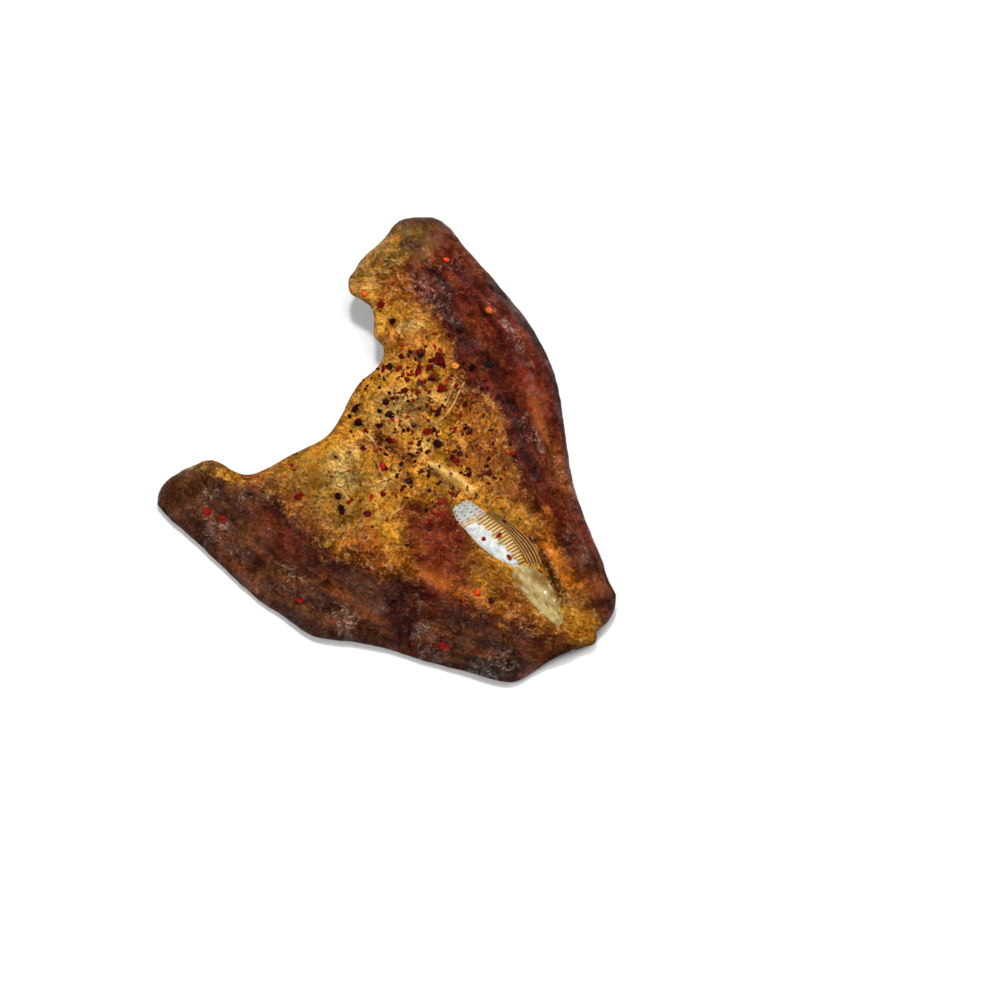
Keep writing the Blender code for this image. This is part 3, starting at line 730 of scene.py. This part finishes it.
def skin_material():
    """The skin side: bronze and silver, with rows of scales."""
    material, tree, place = new_material("fish_skin")
    threads = attribute(tree, "threads").outputs["Vector"]
    scales = node(tree, "ShaderNodeTexVoronoi", {"Vector": threads, "Scale": 0.9, "Randomness": 0.55})
    mottle = noise_socket(tree, place, 160, 5, 0.5)
    colour = mix(tree, ramp(tree, mottle, 0.35, 0.65), tint("skin"), tint("pale skin"))
    colour = mix(tree, ramp(tree, scales.outputs["Distance"], 0.25, 0.7), colour, tint("scale gap"))
    normal = bump(tree, scales.outputs["Distance"], 0.0003)
    normal = bump(tree, mottle, 0.0006, 1, normal)
    finish_material(tree, {"Base Color": colour, "Roughness": ramp(tree, mottle, 0.3, 0.7, 0.3, 0.5),
                           "Metallic": 0.15, "Coat Weight": 0.3, "Coat Roughness": 0.2, "Normal": normal})
    return material


def sheet_material():
    """Thin dried skin and membrane: painted colour with fine threads and a satin gloss."""
    material, tree, place = new_material("thin_skin")
    mottle = noise_socket(tree, place, 500, 4, 0.8)
    grain = noise_socket(tree, place, 2200, 3, 1.0)
    colour = attribute(tree, "paint").outputs["Color"]
    colour = shift_value(tree, colour, ramp(tree, mottle, 0.3, 0.7, 0.8, 1.15))
    colour = shift_value(tree, colour, ramp(tree, grain, 0.3, 0.7, 0.86, 1.12))
    normal = bump(tree, mottle, 0.00015)
    normal = bump(tree, grain, 0.00006, 1, normal)
    finish_material(tree, {"Base Color": colour, "Roughness": ramp(tree, mottle, 0.3, 0.7, 0.35, 0.5),
                           "Coat Weight": 0.3, "Coat Roughness": 0.15, "Normal": normal,
                           "Specular IOR Level": 0.2})
    return material


def bone_material():
    """Thin bones: amber yellow, darker in bands, with a dull gloss."""
    material, tree, place = new_material("fish_bone")
    bands = noise_socket(tree, place, 420, 3, 0.4)
    colour = mix(tree, ramp(tree, bands, 0.35, 0.65), tint("amber"), tint("bone"))
    normal = bump(tree, bands, 0.0002)
    finish_material(tree, {"Base Color": colour, "Roughness": ramp(tree, bands, 0.3, 0.7, 0.35, 0.55),
                           "Coat Weight": 0.3, "Coat Roughness": 0.18, "Normal": normal})
    return material


def chilli_material(name, deep, bright, roughness):
    """Chilli skin: deep to bright by piece, mottled, with fine wrinkles."""
    material, tree, place = new_material(name)
    shade = attribute(tree, "shade").outputs["Fac"]
    mottle = noise_socket(tree, place, 900, 4, 0.8)
    colour = mix(tree, shade, deep, bright)
    colour = shift_value(tree, colour, ramp(tree, mottle, 0.3, 0.7, 0.45, 1.35))
    normal = bump(tree, mottle, 0.0004)
    finish_material(tree, {"Base Color": colour, "Roughness": roughness, "Coat Weight": 0.05,
                           "Coat Roughness": 0.1, "Normal": normal, "Specular IOR Level": 0.02})
    return material


# ---------------------------------------------------------------- pieces

def add_object(name, data):
    """A new object with this data, in the scene."""
    made = bpy.data.objects.new(name, data)
    bpy.context.collection.objects.link(made)
    return made


def new_piece(name, vertices, faces, materials):
    """A smooth mesh piece that rides with the fish; vertices are in millimetres of the row frame."""
    mesh = bpy.data.meshes.new(name)
    mesh.from_pydata((np.asarray(vertices) * MM).tolist(), [], faces)
    mesh.polygons.foreach_set("use_smooth", [True] * len(mesh.polygons))
    for material in materials:
        mesh.materials.append(material)
    piece = add_object(name, mesh)
    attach(piece, "root")
    return piece


def set_vectors(piece, name, values):
    """Stores one vector for each vertex."""
    layer = piece.data.attributes.new(name, "FLOAT_VECTOR", "POINT")
    layer.data.foreach_set("vector", np.asarray(values, dtype=np.float32).ravel())


def set_colours(piece, name, values, alpha=1.0):
    """Stores one colour for each vertex, and in its alpha one more number."""
    layer = piece.data.attributes.new(name, "FLOAT_COLOR", "POINT")
    full = np.column_stack([values, alpha * np.ones(len(values))])
    layer.data.foreach_set("color", full.astype(np.float32).ravel())


def quads(index):
    """Four-cornered faces, seen from above, between the neighbouring places of a grid of vertex numbers."""
    corners = (index[:-1, :-1], index[:-1, 1:], index[1:, 1:], index[1:, :-1])
    return np.stack(corners, axis=2).reshape(-1, 4)


def flake_places(offset):
    """X, Y and width of every flake, in the fish's frame."""
    found = []
    for name in sorted(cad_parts):
        if "flake" in name:
            low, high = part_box(name)
            middle = [(low[i] + high[i]) / 2 / MM - offset[i] for i in range(2)]
            found.append((*middle, (high[0] - low[0]) / MM))
    return found


def make_fish(places, offset):
    """The fish: flesh above, skin below, closed round its rim."""
    zones = find_zones(places)
    full, roundness = thickness(places)
    middle = underside(places) + full / 2
    inward = smooth_step(0, 1.5, places.to_rim)
    top = middle + full / 2 * roundness + flesh_relief(places, zones) * inward
    bottom = middle - full / 2 * roundness - skin_relief(places) * inward
    bottom = np.maximum(bottom, 0)
    top = np.maximum(top, bottom + LEAST_THICKNESS * roundness)

    rows, columns = places.shape
    above = np.arange(rows * columns).reshape(rows, columns)
    inner = np.zeros((rows, columns), bool)
    inner[1:-1, 1:-1] = True
    below = above.copy()
    below[inner] = rows * columns + np.arange(inner.sum())
    inner = inner.ravel()
    ragged = np.column_stack([bumps(places.xy, 2.2, 21), bumps(places.xy, 2.2, 22)])
    xy = places.xy + offset + RAGGED_RIM * ragged * (1 - smooth_step(0, 3, places.to_rim))[:, None]
    points = np.vstack([np.column_stack([xy, top]), np.column_stack([xy, bottom])[inner]])
    flesh, skin = quads(above), quads(below)[:, ::-1]
    piece = new_piece("fish", points, np.vstack([flesh, skin]).tolist(),
                      [flesh_material(), skin_material()])
    piece.data.polygons.foreach_set("material_index", np.repeat([0, 1], [len(flesh), len(skin)]))

    def both(values):
        return np.concatenate([values, values[inner]])

    loin = np.maximum(zones["right_loin"], zones["left_loin"])
    stain = np.clip(0.2 + 0.8 * places.blob(*CHILLI_MIDDLE, *CHILLI_REACH), 0, 1)
    few = np.maximum(0.85 * places.blob(*RUST_MIDDLE, *RUST_SIZE, -28),
                     0.5 * places.blob(*OLIVE_MIDDLE, *OLIVE_SIZE))
    pale = (1 - loin) * 0.55 * (1 - few)
    # The marks: painted glints and coat gloss, pale flecks, chilli stains.
    marks = np.column_stack([zones["glint_and_gloss"], pale, stain])
    set_vectors(piece, "threads", both(np.column_stack([places.threads, np.zeros(len(full))])))
    set_vectors(piece, "marks", both(marks))
    colour, rough = paint_flesh(places, zones, flake_places(offset))
    set_colours(piece, "paint", both(colour), both(rough))
    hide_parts("dried_fish")
    return piece


def surface_under(pieces):
    """The visible surface of these pieces together, for rays to hit, in millimetres."""
    points, faces = [], []
    for piece in pieces:
        first = len(points)
        points += [v.co / MM for v in piece.data.vertices]
        faces += [[first + corner for corner in face.vertices] for face in piece.data.polygons]
    return BVHTree.FromPolygons(points, faces)


def drop(surface, x, y):
    """The point and normal where the surface lies under (x, y) of the row frame, or None off the fish."""
    place, normal, _, _ = surface.ray_cast(Vector((x, y, ABOVE)), Vector((0, 0, -1)))
    return None if place is None else (place, normal)


def make_sheet(name, edges, surface, offset, rows, columns, lift, paint, material):
    """A thin sheet between two lines that lies on the surface and goes into it at its edges.

    lift and paint take the shares down and across the sheet and give its height and its colours.
    """
    left, right = edges
    down, over = np.meshgrid(np.linspace(0, 1, rows), np.linspace(0, 1, columns), indexing="ij")
    start = np.array([on_curve(left, d) for d in down[:, 0]])
    end = np.array([on_curve(right, d) for d in down[:, 0]])
    xy = start[:, None] * (1 - over[..., None]) + end[:, None] * over[..., None] + offset
    ground = np.array([[drop(surface, *p)[0].z for p in row] for row in xy])
    to_edge = np.minimum(np.minimum(down, 1 - down) * 12, np.minimum(over, 1 - over) * 8)
    edge = smooth_step(0, 1, to_edge)
    top = ground + lift(down, over) * edge - SHEET_EDGE_SINK * (1 - edge)
    bottom = ground - SHEET_DEPTH
    index = np.arange(rows * columns).reshape(rows, columns)[:, ::-1]
    rim = np.concatenate([index[0, :-1], index[:-1, -1], index[-1, :0:-1], index[:0:-1, 0]])
    under = rows * columns
    walls = np.column_stack([rim, rim + under, np.roll(rim, -1) + under, np.roll(rim, -1)])
    faces = np.vstack([quads(index), quads(index)[:, ::-1] + under, walls])
    points = np.vstack([np.dstack([xy, top[..., None]]).reshape(-1, 3),
                        np.dstack([xy, bottom[..., None]]).reshape(-1, 3)])
    piece = new_piece(name, points, faces.tolist(), [material])
    shades = paint(down, over).reshape(-1, 3)
    set_colours(piece, "paint", np.vstack([shades, shades]))
    return piece


def blend(first, second, share):
    """Linear colours between two of the palette, by a share at every place."""
    return np.array(tint(first)) * (1 - share[..., None]) + np.array(tint(second)) * share[..., None]


def make_silver_strip(surface, offset, material):
    """The strip of silver belly skin: scales at its head end, a white flank and a golden, scalloped band."""
    def arcs(down, over):
        return np.abs(np.sin(np.pi * (down * 26 + 1.6 * (over - 0.6) ** 2)))

    def lift(down, over):
        crown = 0.5 * np.sin(np.pi * over) ** 0.7
        scales = 0.16 * np.abs(np.sin(down * 75) * np.sin(over * 15)) * (1 - smooth_step(0.2, 0.35, down))
        scallops = 0.14 * arcs(down, over) * smooth_step(0.5, 0.62, over)
        return 0.2 + crown + scales + scallops

    def paint(down, over):
        shift = 0.05 * np.sin(down * 60) + 0.03 * np.sin(down * 23)
        white = (1 - smooth_step(0.5, 0.58, over + shift)) * smooth_step(0.26, 0.34, down + shift)
        golden = blend("bone", "umber", smooth_step(0.35, 0.95, 1 - arcs(down, over) + 0.3 * over))
        dots = smooth_step(0.7, 0.95, np.abs(np.sin(down * 60) * np.sin(over * 13)))
        scaly = blend("silver", "skin", 0.35 + 0.65 * dots)
        share = smooth_step(0.2, 0.32, down)[..., None]
        both = golden * share + scaly * (1 - share)
        return both * (1 - white[..., None]) + np.array(tint("silver")) * white[..., None]

    return make_sheet("silver_skin_strip", STRIP_EDGES, surface, offset, 150, 34, lift, paint, material)


def make_fin(surface, offset, material):
    """The fin folded along the strip: pale rays that run together towards the tail, over brown web."""
    def rays(down, over):
        return np.abs(np.sin(np.pi * FIN_RAYS * (over + 0.04 * np.sin(down * 5)))) ** 3

    def lift(down, over):
        return 0.15 + 0.4 * rays(down, over)

    def paint(down, over):
        return blend("chestnut", "bone", smooth_step(0.45, 0.9, rays(down, over)))

    return make_sheet("fin_rays", FIN_EDGES, surface, offset, 70, 84, lift, paint, material)


def make_oval(surface, offset, material):
    """The oval of bare belly membrane: sunk in the middle, with soft wrinkles and a seam round it."""
    def wrinkles(down, over):
        spots = np.column_stack([(over * 9).ravel(), (down * 22).ravel()])
        return (bumps(spots, 1.6, 31, 3) + 0.6 * bumps(spots, 0.7, 32, 2)).reshape(down.shape)

    def lift(down, over):
        return 0.05 + 0.25 * (2 * over - 1) ** 2 + 0.16 * wrinkles(down, over)

    def paint(down, over):
        seam = smooth_step(0.78, 0.98, np.abs(2 * over - 1)) * 0.85
        shade = blend("olive", "membrane", smooth_step(-0.7, 0.6, wrinkles(down, over)))
        return shade * (1 - seam[..., None]) + np.array(tint("umber")) * seam[..., None]

    return make_sheet("belly_membrane", OVAL_EDGES, surface, offset, 70, 30, lift, paint, material)


def tube(points, radius):
    """Points and faces of a round rod through the points, thin at both ends."""
    sides = 8
    made, faces = [], []
    for number, point in enumerate(points):
        ahead = points[min(number + 1, len(points) - 1)] - points[max(number - 1, 0)]
        side = ahead.cross(Vector((0, 0, 1))).normalized()
        up = side.cross(ahead).normalized()
        share = number / (len(points) - 1)
        reach = radius * (0.25 + 0.75 * math.sin(math.pi * (share * 0.9 + 0.05)) ** 0.5)
        for step in range(sides):
            angle = math.tau * step / sides
            made.append(point + reach * (math.cos(angle) * side + math.sin(angle) * up))
    for ring in range(len(points) - 1):
        for step in range(sides):
            a, b = ring * sides + step, ring * sides + (step + 1) % sides
            faces.append((a, b, b + sides, a + sides))
    faces.append(tuple(range(sides))[::-1])
    faces.append(tuple(range(len(made) - sides, len(made))))
    return made, faces


def make_bones(surface, offset):
    """The thin bones that stand out of the flesh, half sunk in it, as one piece."""
    points, faces = [], []
    for line, radius in BONES:
        steps = 18
        along = [on_curve(line, i / steps) + Vector(offset) for i in range(steps + 1)]
        heights = np.array([drop(surface, *p)[0].z for p in along])
        smooth = np.convolve(np.pad(heights, 3, mode="edge"), np.ones(7) / 7, mode="valid")
        path = [Vector((*p, z + radius * 0.1)) for p, z in zip(along, smooth)]
        made, rod = tube(path, radius)
        faces += [tuple(corner + len(points) for corner in face) for face in rod]
        points += made
    return new_piece("fine_bones", points, faces, [bone_material()])


def scrap(width, length, thickness_mm, source, rings=4, spokes=8):
    """Points and faces of one broken, angular scrap lying at the origin, as a closed thin sheet."""
    reach = [source.uniform(0.7, 1.15) for _ in range(spokes)]
    turns = [math.tau * (spoke + source.uniform(-0.3, 0.3)) / spokes for spoke in range(spokes)]
    bend = source.uniform(-0.2, 0.4)
    lean = source.uniform(0, math.pi)
    middle = noise.noise(Vector((0, 0, lean * 9)))
    top, bottom = [], []
    for ring, spoke in product(range(1, rings + 1), range(spokes)):
        share = ring / rings
        x = 0.52 * width * reach[spoke] * share * math.cos(turns[spoke])
        y = 0.52 * length * reach[spoke] * share * math.sin(turns[spoke])
        across = x * math.cos(lean) + y * math.sin(lean)
        lump = 0.12 * width * (noise.noise(Vector((x * 1.1, y * 1.1, lean * 9))) - middle)
        height = bend * across * across / max(width, 0.1) + lump
        half = 0.5 * thickness_mm * (1 if ring < rings else 0.6)
        top.append((x, y, height + half))
        bottom.append((x, y, height - half))
    points = [(0, 0, 0.5 * thickness_mm)] + top + [(0, 0, -0.5 * thickness_mm)] + bottom
    under = 1 + len(top)
    faces = []
    for spoke in range(spokes):
        after = (spoke + 1) % spokes
        faces.append((0, 1 + spoke, 1 + after))
        faces.append((under, under + 1 + after, under + 1 + spoke))
        for ring in range(rings - 1):
            a, b = 1 + ring * spokes + spoke, 1 + ring * spokes + after
            faces.append((a, a + spokes, b + spokes, b))
            faces.append((b + under, b + spokes + under, a + spokes + under, a + under))
        a, b = 1 + (rings - 1) * spokes + spoke, 1 + (rings - 1) * spokes + after
        faces.append((b, a, a + under, b + under))
    return points, faces


def lay_on(surface, x, y, turn, sink):
    """The matrix that lays a scrap on the surface under (x, y) of the row frame, or None off the fish."""
    found = drop(surface, x, y)
    if found is None:
        return None
    place, normal = found
    upright = normal.lerp(Vector((0, 0, 1)), 0.3).normalized()
    return (Matrix.Translation(place + upright * sink)
            @ upright.to_track_quat("Z", "Y").to_matrix().to_4x4() @ Matrix.Rotation(turn, 4, "Z"))


def set_shades(piece, shades):
    """Stores how bright each vertex is, from 0 to 1."""
    layer = piece.data.attributes.new("shade", "FLOAT", "POINT")
    layer.data.foreach_set("value", shades)


def make_flake(name, surface, material, source, thickness_mm, shade):
    """One flake in place of its CAD node, with that node's place and size."""
    low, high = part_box(name)
    x, y = (low[0] + high[0]) / 2 / MM, (low[1] + high[1]) / 2 / MM
    width, length = (high[0] - low[0]) / MM, (high[1] - low[1]) / MM
    points, faces = scrap(width, length, thickness_mm, source)
    matrix = lay_on(surface, x, y, 0, 0.3 * thickness_mm)
    piece = new_piece(name + ".look", [matrix @ Vector(p) for p in points], faces, [material])
    set_shades(piece, [shade] * len(points))
    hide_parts(name)


def make_crumbs(name, surface, material, source, count, sizes, middle, spread, offset):
    """Many small crumbs strewn round a middle, as one piece. Few lie on the silver strip and the oval."""
    points, faces, shades = [], [], []
    while count:
        x, y = [source.gauss(middle[i] + offset[i], spread[i]) for i in range(2)]
        to_trough, _, _ = to_line(TROUGH, np.array([(x - offset[0], y - offset[1])]))
        if to_trough[0] < CLEAR_OF_TROUGH and source.random() > KEPT_IN_TROUGH:
            continue
        matrix = lay_on(surface, x, y, source.uniform(0, math.tau), 0.05)
        beside = [drop(surface, x + step, y) for step in (CRUMB_TO_EDGE, -CRUMB_TO_EDGE)]
        if matrix is None or None in beside:
            continue
        width = source.uniform(*sizes)
        made, rim = scrap(width, width * source.uniform(0.4, 1), 0.2, source, 2, 7)
        faces += [tuple(corner + len(points) for corner in face) for face in rim]
        points += [matrix @ Vector(p) for p in made]
        shades += [source.random() ** 1.6] * len(made)
        count -= 1
    piece = new_piece(name, points, faces, [material])
    set_shades(piece, shades)


def make_chilli(surface, offset):
    """Every flake, seed and crumb, in colours from black to bright red."""
    looks = {
        "dark_chilli": chilli_material("dark_chilli_skin", tint("black chilli"), tint("dark chilli"), 0.4),
        "red_chilli": chilli_material("red_chilli_skin", tint("deep red"), tint("bright red"), 0.35),
        "chilli_seed": chilli_material("chilli_seed_shell", tint("seed red"), tint("seed yellow"), 0.4),
    }
    source = random.Random(11)
    slots = {"dark": "dark_chilli", "red_": "red_chilli", "chil": "chilli_seed"}
    for name in sorted(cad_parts):
        slot = slots.get(name[:4])
        if slot:
            depth = 0.7 if slot == "chilli_seed" else 0.3
            number = int(name[-2:]) - 1
            chosen = FLAKE_SHADES[slot]
            shade = chosen[number] if number < len(chosen) else source.random()
            make_flake(name, surface, looks[slot], source, depth, shade)
    for name, slot, count, sizes, middle, spread in CRUMBS:
        make_crumbs(name, surface, looks[slot], source, count, sizes, middle, spread, offset)


# ---------------------------------------------------------------- stage

def make_floor():
    """A plain pale floor just under the fish."""
    mesh = bpy.data.meshes.new("floor")
    far = FLOOR_REACH
    mesh.from_pydata([(-far, -far, 0), (far, -far, 0), (far, far, 0), (-far, far, 0)], [], [(0, 1, 2, 3)])
    floor = add_object("floor", mesh)
    floor.location.z = -FLOOR_GAP * MM
    material, tree, place = new_material("pale_floor")
    grain = noise_socket(tree, place, 60, 2)
    colour = mix(tree, grain, tint("floor shade"), tint("floor"))
    finish_material(tree, {"Base Color": colour, "Roughness": 0.8, "Specular IOR Level": 0.1})
    mesh.materials.append(material)


def aim(thing, target, azimuth, elevation, distance):
    """Stands a light or camera at this azimuth, elevation and distance from the target, facing it."""
    turn, rise = math.radians(azimuth), math.radians(elevation)
    away = Vector((math.cos(rise) * math.sin(turn), math.cos(rise) * math.cos(turn), math.sin(rise)))
    thing.location = target + away * distance
    thing.rotation_euler = away.to_track_quat("Z", "Y").to_euler()


def make_lights(target):
    """Plain soft studio light: the square lights and a faint, even sky."""
    for name, azimuth, elevation, distance, size, power in LIGHTS:
        data = bpy.data.lights.new(name, "AREA")
        data.size = size
        data.energy = power
        aim(add_object(name, data), target, azimuth, elevation, distance)
    world = bpy.data.worlds.new("studio")
    world.use_nodes = True
    background = world.node_tree.nodes["Background"]
    background.inputs["Color"].default_value = (1, 1, 1, 1)
    background.inputs["Strength"].default_value = SKY_STRENGTH
    bpy.context.scene.world = world


def make_camera(target):
    """The camera, looking down on the fish from the tail's left."""
    data = bpy.data.cameras.new("camera")
    data.lens = CAMERA_LENS
    data.sensor_width = CAMERA_SENSOR
    camera = add_object("camera", data)
    aim(camera, target, CAMERA_AZIMUTH, CAMERA_ELEVATION, CAMERA_DISTANCE)
    bpy.context.scene.camera = camera


def main():
    """Builds everything and the stage round it."""
    places = Places()
    low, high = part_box("dried_fish")
    offset = np.array([(low[i] + high[i]) / 2 / MM - places.centre[i] for i in range(2)])
    fish = make_fish(places, offset)
    flesh = surface_under([fish])
    sheet = sheet_material()
    sheets = [make(flesh, offset, sheet) for make in (make_silver_strip, make_fin, make_oval)]
    bones = make_bones(flesh, offset)
    make_chilli(surface_under([fish, bones] + sheets), offset)
    target = Vector((TARGET[0] + offset[0], TARGET[1] + offset[1], 0)) * MM
    make_floor()
    make_lights(target)
    make_camera(target)
    bpy.context.scene.view_settings.view_transform = "Standard"


main()
